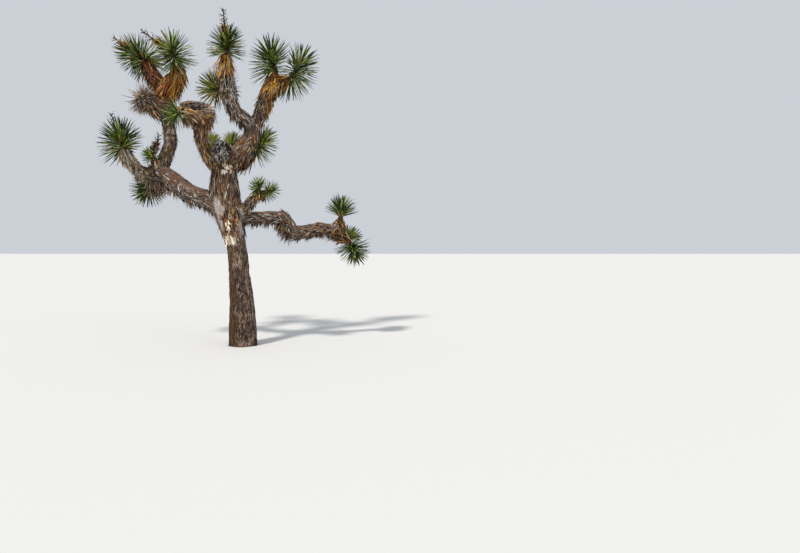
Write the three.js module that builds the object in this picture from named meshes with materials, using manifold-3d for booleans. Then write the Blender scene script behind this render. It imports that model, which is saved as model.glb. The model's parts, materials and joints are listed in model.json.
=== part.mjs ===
// A joshua tree, 4.7 m tall, as three.js solids in millimetres, +Z up, with its origin at the middle of
// the flat cut at ground level. +X is to the right in the main view and +Y runs away from the viewer.
//
// The tree is a growth plan. Each limb leaves its parent at a share of the parent's length and runs on
// in steps, and each step is [bearing, rise, length]: the bearing in degrees round from +X towards +Y,
// the rise in degrees above level, and the length in millimetres. A head is a limb too: its stem wears
// a skirt of dead leaves, and its last stretch carries the rosette of green ones.
import * as THREE from "three";
import { mergeVertices } from "three/addons/utils/BufferGeometryUtils.js";
import Module from "manifold-3d";

const wasm = await Module();
wasm.setup();

// Driving sizes
const GAP = 0.3; // clear space between two solids that meet
const RING_SPACING = 130; // along a limb
const LIMB_SIDES = 9;
const TRUNK_SIDES = 14;
const DOME = 0.68; // share of its radius that a rounded end keeps
const ROOT_FLARE = 0.16; // share that the trunk's foot is wider
const FLARE_HEIGHT = 420;
const FLARE_LOBES = 5;
const FLARE_LOBE_DEPTH = 0.05;

const HEAD_SIDES = 8;
const HEAD_RING_SPACING = 90;
const HEART_RADIUS = 50; // of the stem among the green leaves
const SHOULDER = 0.45; // share of the crown over which the skirt narrows to the heart
const LEAF_WIDTH = 36; // at its root, larger than life
const LEAF_THICKNESS = 8;
const LEAF_TOP_ANGLE = 8; // degrees between the stem and the youngest leaves
const LEAF_JITTER = 7; // degrees
const OLD_LEAF_EXTRA = 0.12; // share that the oldest leaves are longer
const LEAF_TRIES = [1, 0.78, 0.6]; // shares of its length that a leaf is tried at before it is skipped
const OWN_SPACE = 15; // a leaf's tip is nearer to its own heart than to any other by at least this
const GOLDEN_TURN = 137.508;
const HANGING_LENGTH = 170;
const STALK_RADIUS = 14;
const STALK_TWIGS = 6;
const POD_LENGTH = 95;
const POD_WIDTH = 60;

// The trunk and the boughs. radii are spread evenly along a limb, shag included.
const LIMBS = {
  trunk: {
    steps: [
      [180, 89, 500], [180, 86, 460], [172, 85, 400], [175, 77, 290],
      [171, 77, 270], [167, 79, 240], [159, 87, 220], [93, 88, 170],
    ],
    radii: [172, 175, 164, 149, 139, 131, 168, 200, 200, 165],
    sides: TRUNK_SIDES,
    domed: true,
  },
  left_bough: {
    from: "trunk",
    at: 0.76,
    steps: [[171, 29, 290], [169, 20, 340], [165, 33, 200], [159, 32, 200], [158, 28, 170], [160, 26, 110]],
    radii: [140, 135, 126, 122, 124, 128, 104],
    domed: true,
  },
  left_upright_bough: {
    from: "left_bough",
    at: 0.93,
    steps: [
      [61, 69, 200], [38, 70, 170], [53, 73, 150], [133, 75, 160],
      [164, 79, 160], [165, 75, 150], [156, 82, 180],
    ],
    radii: [104, 88, 94, 88, 86, 82, 72, 84],
  },
  left_outer_bough: {
    from: "left_bough",
    at: 0.99,
    steps: [[193, -23, 130], [227, 13, 130], [260, 24, 190], [271, 22, 170]],
    radii: [96, 94, 88, 86, 84],
  },
  crook_bough: {
    from: "trunk",
    at: 0.97,
    steps: [
      [208, 40, 160], [232, 41, 130], [247, 52, 160], [265, 54, 160],
      [281, 52, 150], [316, 52, 140], [324, 65, 150],
    ],
    radii: [84, 82, 76, 76, 82, 94, 112, 116],
    domed: true,
  },
  crook_arm: {
    from: "crook_bough",
    at: 0.95,
    steps: [[212, 2, 130], [209, -2, 110], [206, -14, 80]],
    radii: [104, 118, 116, 104],
  },
  main_bough: {
    from: "trunk",
    at: 0.97,
    steps: [[16, 56, 150], [37, 51, 160], [34, 49, 160], [37, 52, 170], [43, 68, 150], [59, 75, 90]],
    radii: [128, 138, 134, 128, 118, 108],
    domed: true,
  },
  centre_bough: {
    from: "main_bough",
    at: 0.93,
    steps: [[216, 39, 210], [228, 29, 160], [251, 53, 150], [266, 56, 150], [259, 64, 130]],
    radii: [82, 98, 96, 96, 102],
  },
  right_top_bough: {
    from: "main_bough",
    at: 0.94,
    steps: [[40, 65, 260], [61, 66, 190], [57, 58, 140]],
    radii: [84, 88, 86, 100],
  },
  back_bough: {
    from: "trunk",
    at: 0.98,
    steps: [[101, 49, 250], [103, 37, 220]],
    radii: [94, 88, 80],
    domed: true,
  },
  dead_stump: {
    from: "trunk",
    at: 0.99,
    steps: [[266, 67, 230], [274, 68, 100], [290, 82, 90]],
    radii: [84, 82, 104, 122, 98],
    domed: true,
  },
  small_bough: {
    from: "trunk",
    at: 0.74,
    steps: [[347, 19, 280], [318, 30, 150], [312, 33, 150], [309, 31, 60]],
    radii: [88, 84, 76, 66, 62],
  },
  long_bough: {
    from: "trunk",
    at: 0.71,
    steps: [[18, 5, 310], [23, 2, 200], [24, 0, 190]],
    radii: [92, 84, 78, 82, 96],
  },
  long_bough_end: {
    from: "long_bough",
    at: 1,
    steps: [
      [24, -6, 50], [28, -52, 120], [26, -48, 150], [29, 1, 130],
      [26, 10, 150], [27, 7, 160], [26, -9, 160], [21, -18, 90],
    ],
    radii: [96, 106, 106, 102, 92, 90, 102, 86, 86],
  },
};

// The heads. crown is the length of stem that the green leaves grow on, reach their length from the
// stem's middle, spread the angle from the stem of the oldest, and skirt the radii of the dead leaves
// round the stem below them, from the bough up.
const HEADS = {
  top_left_outer_rosette: {
    from: "left_upright_bough",
    at: 1,
    steps: [[150, 58, 300], [145, 53, 230], [139, 52, 240], [170, 25, 100], [170, 31, 90]],
    skirt: [84, 108, 124, 118, 90],
    crown: 230, reach: 355, leaves: 44, spread: 132, hanging: 8,
    stalk: { toward: [188, 36, 490] },
  },
  top_left_inner_rosette: {
    from: "left_upright_bough",
    at: 0.97,
    steps: [[339, 53, 270], [326, 45, 170], [283, 53, 160], [258, 61, 170], [263, 47, 40]],
    skirt: [84, 160, 158, 126, 84],
    crown: 150, reach: 322, leaves: 38, spread: 130, hanging: 8,
    stalk: { toward: [190, 36, 560] },
  },
  dead_rosette: {
    from: "left_upright_bough",
    at: 0.84,
    steps: [[206, 25, 130], [197, 29, 90], [198, 25, 90], [194, 17, 80]],
    skirt: [92, 130, 146, 132],
    crown: 100, heart: 118, reach: 200, leaves: 24, spread: 140, hanging: 14, dead: true,
  },
  left_tip_rosette: {
    from: "left_outer_bough",
    at: 1,
    steps: [[215, 64, 90], [165, 66, 110], [140, 66, 120]],
    skirt: [84, 98, 84],
    crown: 165, reach: 335, leaves: 40, spread: 116, hanging: 5,
    stalk: { toward: [180, 71, 440] },
  },
  left_spur_rosette: {
    from: "left_bough",
    at: 0.97,
    steps: [[263, 59, 130], [221, 65, 80], [194, 46, 60]],
    skirt: [88, 92, 88, 76],
    crown: 90, reach: 170, leaves: 16, spread: 92, hanging: 3,
    stalk: { toward: [0, 73, 345], pods: 4 },
  },
  left_hanging_rosette: {
    from: "left_bough",
    at: 0.99,
    steps: [[131, -44, 160], [136, -46, 110], [152, -44, 120]],
    skirt: [104, 136, 138, 100],
    crown: 110, reach: 290, leaves: 32, spread: 106, hanging: 8,
  },
  crook_rosette: {
    from: "crook_arm",
    at: 1,
    steps: [[206, -34, 45], [188, -22, 45]],
    skirt: [94, 76],
    crown: 60, reach: 240, leaves: 28, spread: 100, hanging: 4,
  },
  centre_rosette: {
    from: "centre_bough",
    at: 1,
    steps: [[268, 70, 120], [277, 76, 130], [308, 80, 150], [297, 85, 120], [356, 74, 30]],
    skirt: [100, 98, 92, 84],
    crown: 165, reach: 275, leaves: 42, spread: 112, hanging: 7,
    stalk: { toward: [200, 86, 512] },
  },
  centre_side_rosette: {
    from: "centre_bough",
    at: 0.87,
    steps: [[120, 8, 180], [143, 12, 150], [137, 20, 110]],
    skirt: [84, 92, 88, 70],
    crown: 150, reach: 315, leaves: 38, spread: 124, hanging: 4,
  },
  right_top_inner_rosette: {
    from: "right_top_bough",
    at: 1,
    steps: [[84, 46, 100], [37, 72, 200], [44, 82, 160], [173, 80, 160]],
    skirt: [104, 124, 118, 84],
    crown: 180, reach: 380, leaves: 42, spread: 128, hanging: 7,
  },
  right_top_outer_rosette: {
    from: "right_top_bough",
    at: 0.8,
    steps: [[32, 55, 210], [49, 41, 240], [50, 19, 170], [45, 56, 200], [40, 59, 120]],
    skirt: [70, 84, 110, 116, 100, 78],
    crown: 330, reach: 368, leaves: 46, spread: 148, hanging: 7,
  },
  main_side_rosette: {
    from: "main_bough",
    at: 0.37,
    steps: [[75, -10, 180], [46, 34, 180], [26, 50, 170], [23, 53, 80]],
    skirt: [90, 122, 124, 104, 80],
    crown: 180, reach: 295, leaves: 38, spread: 126, hanging: 7,
  },
  back_left_rosette: {
    from: "back_bough",
    at: 1,
    steps: [[141, 29, 140], [144, 21, 170], [120, 66, 50]],
    skirt: [76, 74, 62],
    crown: 110, reach: 180, leaves: 26, spread: 118, hanging: 3,
  },
  back_right_rosette: {
    from: "back_bough",
    at: 0.91,
    steps: [[85, 26, 200], [90, 23, 190], [79, 58, 60]],
    skirt: [70, 78, 74, 60],
    crown: 120, reach: 215, leaves: 30, spread: 118, hanging: 3,
  },
  small_upper_rosette: {
    from: "small_bough",
    at: 1,
    steps: [[299, 22, 75], [299, 60, 70]],
    skirt: [62, 60, 50],
    crown: 80, reach: 165, leaves: 20, spread: 92, hanging: 2,
  },
  small_outer_rosette: {
    from: "small_bough",
    at: 0.92,
    steps: [[348, 16, 140], [353, 17, 80]],
    skirt: [56, 60, 50],
    crown: 90, reach: 175, leaves: 22, spread: 118, hanging: 3,
  },
  long_upright_rosette: {
    from: "long_bough_end",
    at: 0.96,
    steps: [[0, 56, 120], [341, 75, 110], [326, 85, 130]],
    skirt: [110, 124, 92, 58],
    crown: 110, reach: 275, leaves: 30, spread: 74, hanging: 7,
  },
  long_back_rosette: {
    from: "long_bough_end",
    at: 0.97,
    steps: [[50, -16, 190], [55, -12, 120], [50, 8, 70]],
    skirt: [70, 74, 70, 56],
    crown: 100, reach: 200, leaves: 24, spread: 116, hanging: 4,
  },
  long_hanging_rosette: {
    from: "long_bough_end",
    at: 1,
    steps: [[34, -32, 170], [30, -40, 120], [40, -58, 130]],
    skirt: [86, 90, 84, 64],
    crown: 130, reach: 285, leaves: 34, spread: 118, hanging: 7,
  },
};

const COLOURS = { bark: "#7d6a58", leaves: "#54682f", dead: "#8a7355" };

const radians = THREE.MathUtils.degToRad;

function seeded(seed) {
  let state = seed;
  return () => {
    state = (state * 1664525 + 1013904223) >>> 0;
    return state / 4294967296;
  };
}

function heading(bearing, rise) {
  return new THREE.Vector3(
    Math.cos(radians(bearing)) * Math.cos(radians(rise)),
    Math.sin(radians(bearing)) * Math.cos(radians(rise)),
    Math.sin(radians(rise)),
  );
}

// The smooth line of a limb that starts at a point and runs on in steps.
function lineOf(start, steps) {
  const points = [start.clone()];
  for (const [bearing, rise, length] of steps)
    points.push(points.at(-1).clone().addScaledVector(heading(bearing, rise), length));
  return new THREE.CatmullRomCurve3(points, false, "centripetal");
}

// A value at a share of a list that is spread evenly from 0 to 1.
function along(values, share) {
  const place = Math.min(Math.max(share, 0), 1) * (values.length - 1);
  const before = Math.min(Math.floor(place), values.length - 2);
  return THREE.MathUtils.lerp(values[before], values[before + 1], place - before);
}

function sideways(axis) {
  const reference = Math.abs(axis.z) < 0.9 ? new THREE.Vector3(0, 0, 1) : new THREE.Vector3(0, 1, 0);
  const u = new THREE.Vector3().crossVectors(axis, reference).normalize();
  return [u, new THREE.Vector3().crossVectors(axis, u)];
}

// The direction square to an axis at a turn round it.
function radialAt(axis, turn) {
  const [u, v] = sideways(axis);
  return u.multiplyScalar(Math.cos(turn)).addScaledVector(v, Math.sin(turn));
}

// A direction at an angle from an axis, towards a radial direction.
const tilted = (axis, radial, angle) =>
  axis.clone().multiplyScalar(Math.cos(angle)).addScaledVector(radial, Math.sin(angle));

// A three.js geometry as a solid.
function solid(geometry) {
  const bare = geometry.clone();
  for (const name of ["normal", "uv"]) bare.deleteAttribute(name);
  const merged = mergeVertices(bare, 1e-4);
  const made = new wasm.Manifold(
    new wasm.Mesh({
      numProp: 3,
      vertProperties: merged.attributes.position.array,
      triVerts: new Uint32Array(merged.index.array),
    }),
  );
  if (made.volume() < 0) throw new Error("a solid is inside out");
  return made;
}

function geometryOf(made) {
  const mesh = made.getMesh();
  const geometry = new THREE.BufferGeometry();
  geometry.setAttribute("position", new THREE.BufferAttribute(new Float32Array(mesh.vertProperties), 3));
  geometry.setIndex(new THREE.BufferAttribute(new Uint32Array(mesh.triVerts), 1));
  return geometry.toNonIndexed();
}

// How much wider the trunk is near the ground, with a few shallow lobes.
function flare(height, angle) {
  const low = Math.exp(-height / FLARE_HEIGHT);
  return 1 + low * (ROOT_FLARE + FLARE_LOBE_DEPTH * Math.sin(angle * FLARE_LOBES));
}

// A closed tube along a line: a cylinder whose rings are moved onto it. grown makes it that much wider
// and longer, as the shape that cuts a neighbour clear.
function tube(line, shape, grown) {
  const rings = Math.max(2, Math.round(line.getLength() / shape.spacing));
  const frames = line.computeFrenetFrames(rings, false);
  const geometry = new THREE.CylinderGeometry(1, 1, 1, shape.sides, rings);
  const position = geometry.attributes.position;
  const point = new THREE.Vector3();
  for (let i = 0; i < position.count; i++) {
    point.fromBufferAttribute(position, i);
    const share = point.y + 0.5;
    const ring = Math.round(share * rings);
    const angle = Math.atan2(point.z, point.x);
    const middle = line.getPointAt(share);
    let radius = shape.radiusAt(share);
    if (shape.foot) radius *= flare(middle.z, angle);
    if (shape.domed && ring === rings) radius *= DOME;
    const out = Math.hypot(point.x, point.z) * (radius + grown);
    const end = ring === 0 ? -grown : ring === rings ? grown : 0;
    point
      .copy(middle)
      .addScaledVector(frames.normals[ring], -Math.cos(angle) * out)
      .addScaledVector(frames.binormals[ring], Math.sin(angle) * out)
      .addScaledVector(frames.tangents[ring], end);
    if (shape.foot && ring === 0) point.z = -grown;
    position.setXYZ(i, point.x, point.y, point.z);
  }
  return solid(geometry);
}

const limbShape = (limb, name) => ({
  radiusAt: (share) => along(limb.radii, share),
  sides: limb.sides ?? LIMB_SIDES,
  spacing: RING_SPACING,
  domed: limb.domed,
  foot: name === "trunk",
});

// A head's stem: the skirt, then a narrow heart for the green leaves.
function headShape(head, length) {
  const crown = head.crown / length;
  const radiusAt = (share) => {
    const skirt = along(head.skirt, share / (1 - crown));
    const climb = (share - (1 - crown)) / (crown * SHOULDER);
    return THREE.MathUtils.lerp(skirt, head.heart ?? HEART_RADIUS, THREE.MathUtils.clamp(climb, 0, 1));
  };
  return { radiusAt, sides: HEAD_SIDES, spacing: HEAD_RING_SPACING, domed: true };
}

// A leaf of three faces on a root: flat above, keeled below, and widest at its foot.
function blade(leaf, length) {
  const geometry = new THREE.ConeGeometry(1, length, 3, 1);
  geometry.scale(LEAF_WIDTH / Math.sqrt(3), 1, LEAF_THICKNESS / 1.5);
  geometry.translate(0, length / 2, 0);
  return put(geometry, leaf.root, leaf.direction, leaf.across);
}

// A thin three-sided twig.
function twig(root, direction, length, radius) {
  const geometry = new THREE.CylinderGeometry(radius * 0.35, radius, length, 3, 1);
  geometry.translate(0, length / 2, 0);
  return put(geometry, root, direction, sideways(direction)[0]);
}

// A dried pod at a twig's end.
function pod(root, direction) {
  const geometry = new THREE.OctahedronGeometry(1, 0);
  geometry.scale(POD_WIDTH / 2, POD_LENGTH / 2, POD_WIDTH / 2);
  geometry.translate(0, POD_LENGTH / 2, 0);
  return put(geometry, root, direction, sideways(direction)[0]);
}

// Stands a geometry that was made along +Y on a root, along a direction.
function put(geometry, root, direction, across) {
  const back = new THREE.Vector3().crossVectors(across, direction);
  geometry.applyMatrix4(new THREE.Matrix4().makeBasis(across, direction, back).setPosition(root));
  return solid(geometry);
}

// The green leaves, youngest first: golden-angle turns, spread evenly over a cap of the sphere.
function greenLeaves(head, line, random) {
  const length = line.getLength();
  const cap = 1 - Math.cos(radians(head.spread));
  return Array.from({ length: head.leaves }, (_, i) => {
    const age = (i + 0.5) / head.leaves;
    const share = 1 - (age * head.crown) / length;
    const axis = line.getTangentAt(share);
    const radial = radialAt(axis, radians(i * GOLDEN_TURN + (random() - 0.5) * LEAF_JITTER));
    const opened = Math.acos(1 - age * cap) * (1 - LEAF_TOP_ANGLE / head.spread);
    const angle = radians(LEAF_TOP_ANGLE + (random() - 0.5) * LEAF_JITTER) + opened;
    return {
      root: line.getPointAt(share).addScaledVector(axis, -8),
      direction: tilted(axis, radial, angle),
      across: new THREE.Vector3().crossVectors(axis, radial),
      length: head.reach * (0.86 + 0.1 * random() + OLD_LEAF_EXTRA * age),
    };
  });
}

// Dead leaves that stand off the skirt, laid back along the stem.
function hangingLeaves(head, line, random) {
  const below = 1 - head.crown / line.getLength();
  return Array.from({ length: head.hanging }, (_, i) => {
    const share = below * (0.3 + 0.65 * random());
    const axis = line.getTangentAt(share);
    const radial = radialAt(axis, ((i + 0.5 * random()) / head.hanging) * Math.PI * 2);
    return {
      root: line.getPointAt(share).addScaledVector(radial, along(head.skirt, share / below) * 0.6),
      direction: tilted(axis, radial, radians(130 + 16 * random())),
      across: new THREE.Vector3().crossVectors(axis, radial),
      length: HANGING_LENGTH * (0.85 + 0.35 * random()),
    };
  });
}

// The dried flower stalk with its side twigs, and pods round its foot where it has them.
function flowerStalk(stalk, heart, random) {
  const [bearing, rise, length] = stalk.toward;
  const direction = heading(bearing, rise);
  const parts = [twig(heart, direction, length, STALK_RADIUS)];
  for (let i = 0; i < STALK_TWIGS; i++) {
    const share = 0.55 + (0.4 * i) / STALK_TWIGS;
    const root = heart.clone().addScaledVector(direction, length * share);
    const out = tilted(direction, radialAt(direction, radians(i * GOLDEN_TURN)), radians(58));
    parts.push(twig(root, out, (100 - 55 * share) * (0.85 + 0.3 * random()), STALK_RADIUS * 0.5));
  }
  for (let i = 0; i < (stalk.pods ?? 0); i++) {
    const root = heart.clone().addScaledVector(direction, length * (0.12 + 0.06 * i));
    parts.push(pod(root, tilted(direction, radialAt(direction, radians(i * GOLDEN_TURN)), radians(75))));
  }
  return parts;
}

function biggest(made) {
  const bodies = made.decompose();
  return bodies.reduce((most, body) => (body.volume() > most.volume() ? body : most));
}

const touches = (a, b) => a.intersect(b).volume() > 0;

const plans = { ...LIMBS, ...HEADS };
const lines = {};
const grown = {}; // each limb and each head's stem with the gap round it
const bodies = {};

// The limbs and the heads' stems, each cut clear of all that came before it.
for (const [name, plan] of Object.entries(plans)) {
  const start = new THREE.Vector3();
  if (plan.from) {
    start.copy(lines[plan.from].getPointAt(plan.at));
    if (plan.at === 1) start.addScaledVector(lines[plan.from].getTangentAt(1), GAP);
  }
  lines[name] = lineOf(start, plan.steps);
  const shape = plan.radii ? limbShape(plan, name) : headShape(plan, lines[name].getLength());
  const cut = Object.values(grown).reduce((left, tool) => left.subtract(tool), tube(lines[name], shape, 0));
  bodies[name] = biggest(cut);
  grown[name] = tube(lines[name], shape, GAP);
}

const hearts = Object.fromEntries(
  Object.entries(HEADS).map(([name, head]) => {
    const line = lines[name];
    return [name, line.getPointAt(1 - (0.5 * head.crown) / line.getLength())];
  }),
);

function inOwnSpace(name, tip) {
  const own = tip.distanceTo(hearts[name]) + OWN_SPACE;
  return Object.entries(hearts).every(([other, heart]) => other === name || tip.distanceTo(heart) > own);
}

// Each head gets the leaves that keep to its space and touch no limb and no other head.
Object.entries(HEADS).forEach(([name, head], order) => {
  const random = seeded(101 + order * 17);
  const others = Object.entries(grown)
    .filter(([other]) => other !== name)
    .map(([, tool]) => tool)
    .concat(Object.keys(HEADS).slice(0, order).map((other) => bodies[other]));
  const clear = (part) => others.every((other) => !touches(part, other));
  const parts = [bodies[name]];
  const line = lines[name];
  for (const leaf of [...greenLeaves(head, line, random), ...hangingLeaves(head, line, random)]) {
    for (const share of LEAF_TRIES) {
      const length = leaf.length * share;
      const tip = leaf.root.clone().addScaledVector(leaf.direction, length);
      if (!inOwnSpace(name, tip)) continue;
      const made = blade(leaf, length);
      if (!clear(made)) continue;
      parts.push(made);
      break;
    }
  }
  if (head.stalk) parts.push(...flowerStalk(head.stalk, hearts[name], random).filter(clear));
  bodies[name] = biggest(parts.reduce((whole, part) => whole.add(part)));
});

const tree = new THREE.Group();

function place(name, colour, roughness) {
  const material = new THREE.MeshStandardMaterial({ color: colour, roughness, metalness: 0 });
  const mesh = new THREE.Mesh(geometryOf(bodies[name]), material);
  mesh.name = name;
  tree.add(mesh);
}

for (const name of Object.keys(LIMBS)) place(name, COLOURS.bark, 0.95);
for (const [name, head] of Object.entries(HEADS)) place(name, head.dead ? COLOURS.dead : COLOURS.leaves, 0.6);

export default tree;
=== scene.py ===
# The looks of a joshua tree: relief on its bark, a coat of dead leaves, skirts of straw, rosettes of green
# daggers and dried flower stalks. Metres, +Z up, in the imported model's frame.
#
# The tree is grown again here by the plan that its solids follow. Each kind of leaf is then dealt out over
# the limbs, and all leaves of a kind are one mesh.
import json
import math

import bpy
import numpy as np
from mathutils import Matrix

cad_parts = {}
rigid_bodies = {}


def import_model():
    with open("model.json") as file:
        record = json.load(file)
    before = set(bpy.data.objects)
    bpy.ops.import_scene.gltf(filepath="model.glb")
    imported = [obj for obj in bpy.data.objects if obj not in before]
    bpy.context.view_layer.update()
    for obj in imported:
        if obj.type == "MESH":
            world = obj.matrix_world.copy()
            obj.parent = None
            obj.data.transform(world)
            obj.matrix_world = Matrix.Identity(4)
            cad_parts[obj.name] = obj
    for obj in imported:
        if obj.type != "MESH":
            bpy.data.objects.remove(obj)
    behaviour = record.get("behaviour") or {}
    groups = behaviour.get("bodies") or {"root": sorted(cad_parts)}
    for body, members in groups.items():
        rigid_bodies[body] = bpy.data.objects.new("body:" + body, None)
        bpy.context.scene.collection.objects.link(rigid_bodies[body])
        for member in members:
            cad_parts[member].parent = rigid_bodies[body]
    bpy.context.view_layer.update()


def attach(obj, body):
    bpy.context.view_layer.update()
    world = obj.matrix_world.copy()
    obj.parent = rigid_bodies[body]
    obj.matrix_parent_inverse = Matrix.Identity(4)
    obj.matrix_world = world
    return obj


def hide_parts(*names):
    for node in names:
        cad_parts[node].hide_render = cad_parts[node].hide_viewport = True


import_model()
scene = bpy.context.scene

MM = 0.001

# The bark's meshes and their relief, in metres
SKIN_STEP = 0.011  # between the corners of the mesh
STEM_STEP = 0.03  # the same on a head's stem, which its skirt hides
STEM_THIN = 0.6  # of the skirt's radius
TRUNK_RELIEF = 0.011
BOUGH_RELIEF = 0.009
STUMP_RELIEF = 0.036
STEM_RELIEF = 0.006
PLATES_TOP = 1.5  # height up to which the trunk's bark is in plates
COAT_FOOT = 1.45  # height from which the trunk has the colour of its coat
FLARE = 0.16  # share that the trunk's foot is wider
FLARE_HEIGHT = 0.42
FLARE_LOBES = 5
FLARE_LOBE_DEPTH = 0.05
DOME = 0.7  # height of a limb's rounded top, as a share of its radius

# Green leaves, and the rule by which they stand
GREEN_PER_LEAF = 4.8  # for each one of the solids
GREEN_WIDTH = 0.0245
GREEN_FULL_REACH = 0.28  # length from which a leaf has the full width
GREEN_PROFILE = [(0, 0.55), (0.15, 0.9), (0.42, 1), (0.68, 0.8), (0.9, 0.4)]
GREEN_SECTION = [(-1, 0.12), (0, 0.02), (1, 0.12), (0, -0.5)]
GOLDEN_TURN = 137.508
TOP_ANGLE = 8  # of the youngest leaf from the stem, in degrees
ANGLE_JITTER = 9
OLD_LEAF_EXTRA = 0.12  # share that the oldest leaf is longer
CUT_BACK = (0.6, 0.78, 1)  # shares of its length that a leaf may have where another limb is near
OWN_SPACE = 0.015  # that a leaf stays nearer to its own heart than to another
BODY_STEP = 0.05  # between the places down a limb that leaves keep clear of
SHOULDER = 0.45  # share of the crown over which the skirt narrows to the heart
HEART_RADIUS = 50  # of a head's middle, in millimetres

# A dead rosette's leaves. Some of them, set back and shorter, point on past the tip.
DEAD_MORE = 7  # times as many
DEAD_CROWN = 1.15  # share of the crown that they spring from
DEAD_AHEAD = 0.15
DEAD_AHEAD_SHORT = 0.62
DEAD_AHEAD_BACK = 0.08
DEAD_SAG = 0.4
DEAD_UNRULY = 0.3

# Dead leaves that lie back along a bough, and the longer straw of the skirts
SHAG_PER_AREA = 1650  # for each square metre
SHAG_LENGTH = 0.088
SHAG_WIDTH = 0.0155
SKIRT_PER_AREA = 1500
SKIRT_LENGTH = 0.2
SKIRT_WIDTH = 0.02
STRAW_PROFILE = [(0, 0.9), (0.35, 1), (0.75, 0.6)]
STRAW_SECTION = [(-1, -0.1), (0, 0.25), (1, -0.1)]
SPLINTER_PROFILE = [(0, 0.6), (0.3, 1), (0.75, 0.7)]
TUFT_LEAVES = 9

# Dried flower stalks
STALK_RADIUS = 0.012
STALK_TONE = 3  # the number of dry_dark
POD_TONE = 2  # the number of dry_brown
STALK_PROFILE = [(0, 1), (0.4, 1), (0.75, 0.8), (0.97, 0.45)]
STALK_TOP = 0.97
TWIGS_PER_METRE = 56
TWIG_LENGTH = 0.105
TWIG_SHORTER = 0.07  # towards the top
TWIG_WIDTH = 0.013
FLOWERS_PER_TWIG = 2
BRACTS = 150
BRACT_PROFILE = [(0, 0.7), (0.35, 1), (0.75, 0.6)]
POD_LENGTH = 0.095
POD_WIDTH = 0.058
POD_PROFILE = [(0, 0.3), (0.2, 0.8), (0.5, 1), (0.85, 0.7)]

LIMBS, HEADS = {}, {}


def add_limb(name, parent, at, steps, radii, straw="plain", shag=1):
    """A limb that leaves its parent at a share of the parent's length and runs on in steps of [bearing,
    rise, length]: degrees round from +X towards +Y, degrees above level, and millimetres, as radii are."""
    LIMBS[name] = dict(parent=parent, at=at, steps=steps, radii=radii, straw=straw, shag=shag)


def add_head(name, parent, at, steps, skirt, straw="brown", **plan):
    """A rosette: a stem with its skirt, given as a limb's radii, and leaves. straw is the skirt's mix of
    tones, and light, from 0 to 1.2, how yellow the green is; on rosettes in shade, a high light and pale
    paint sunlight into the green. spread is the oldest leaf's angle. stalk is the flower stalk's bearing,
    rise and length, and the share of it that its twigs leave free."""
    HEADS[name + "_rosette"] = dict(parent=parent, at=at, steps=steps, skirt=skirt, straw=straw, **plan)


add_limb(
    "trunk", "", 0,
    [[180, 89, 500], [180, 86, 460], [172, 85, 400], [175, 77, 290], [171, 77, 270], [167, 79, 240],
     [159, 87, 220], [93, 88, 170]],
    [172, 175, 164, 149, 139, 131, 168, 200, 200, 165], straw="trunk", shag=0.55,
)
add_limb(
    "left_bough", "trunk", 0.76,
    [[171, 29, 290], [169, 20, 340], [165, 33, 200], [159, 32, 200], [158, 28, 170], [160, 26, 110]],
    [140, 135, 126, 122, 124, 128, 104], straw="grey",
)
add_limb(
    "left_upright_bough", "left_bough", 0.93,
    [[61, 69, 200], [38, 70, 170], [53, 73, 150], [133, 75, 160], [164, 79, 160], [165, 75, 150],
     [156, 82, 180]],
    [104, 88, 94, 88, 86, 82, 72, 84],
)
add_limb(
    "left_outer_bough", "left_bough", 0.99,
    [[193, -23, 130], [227, 13, 130], [260, 24, 190], [271, 22, 170]], [96, 94, 88, 86, 84], straw="fawn",
)
add_limb(
    "crook_bough", "trunk", 0.97,
    [[208, 40, 160], [232, 41, 130], [247, 52, 160], [265, 54, 160], [281, 52, 150], [316, 52, 140],
     [324, 65, 150]],
    [84, 82, 76, 76, 82, 94, 112, 116], straw="warm",
)
add_limb(
    "crook_arm", "crook_bough", 0.95, [[212, 2, 130], [209, -2, 110], [206, -14, 80]],
    [104, 118, 116, 104], straw="warm",
)
add_limb(
    "main_bough", "trunk", 0.97,
    [[16, 56, 150], [37, 51, 160], [34, 49, 160], [37, 52, 170], [43, 68, 150], [59, 75, 90]],
    [128, 138, 134, 128, 118, 108], straw="brown",
)
add_limb(
    "centre_bough", "main_bough", 0.93,
    [[216, 39, 210], [228, 29, 160], [251, 53, 150], [266, 56, 150], [259, 64, 130]],
    [82, 98, 96, 96, 102], straw="ashy",
)
add_limb(
    "right_top_bough", "main_bough", 0.94, [[40, 65, 260], [61, 66, 190], [57, 58, 140]],
    [84, 88, 86, 100],
)
add_limb("back_bough", "trunk", 0.98, [[101, 49, 250], [103, 37, 220]], [94, 88, 80])
add_limb(
    "dead_stump", "trunk", 0.99, [[266, 67, 230], [274, 68, 100], [290, 82, 90]], [84, 82, 104, 122, 98],
    straw="grey", shag=0.1,
)
add_limb(
    "small_bough", "trunk", 0.74, [[347, 19, 280], [318, 30, 150], [312, 33, 150], [309, 31, 60]],
    [88, 84, 76, 66, 62],
)
add_limb(
    "long_bough", "trunk", 0.71, [[18, 5, 310], [23, 2, 200], [24, 0, 190]], [92, 84, 78, 82, 96],
    straw="grey",
)
add_limb(
    "long_bough_end", "long_bough", 1,
    [[24, -6, 50], [28, -52, 120], [26, -48, 150], [29, 1, 130], [26, 10, 150], [27, 7, 160],
     [26, -9, 160], [21, -18, 90]],
    [96, 106, 106, 102, 92, 90, 102, 86, 86], straw="trunk",
)

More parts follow.
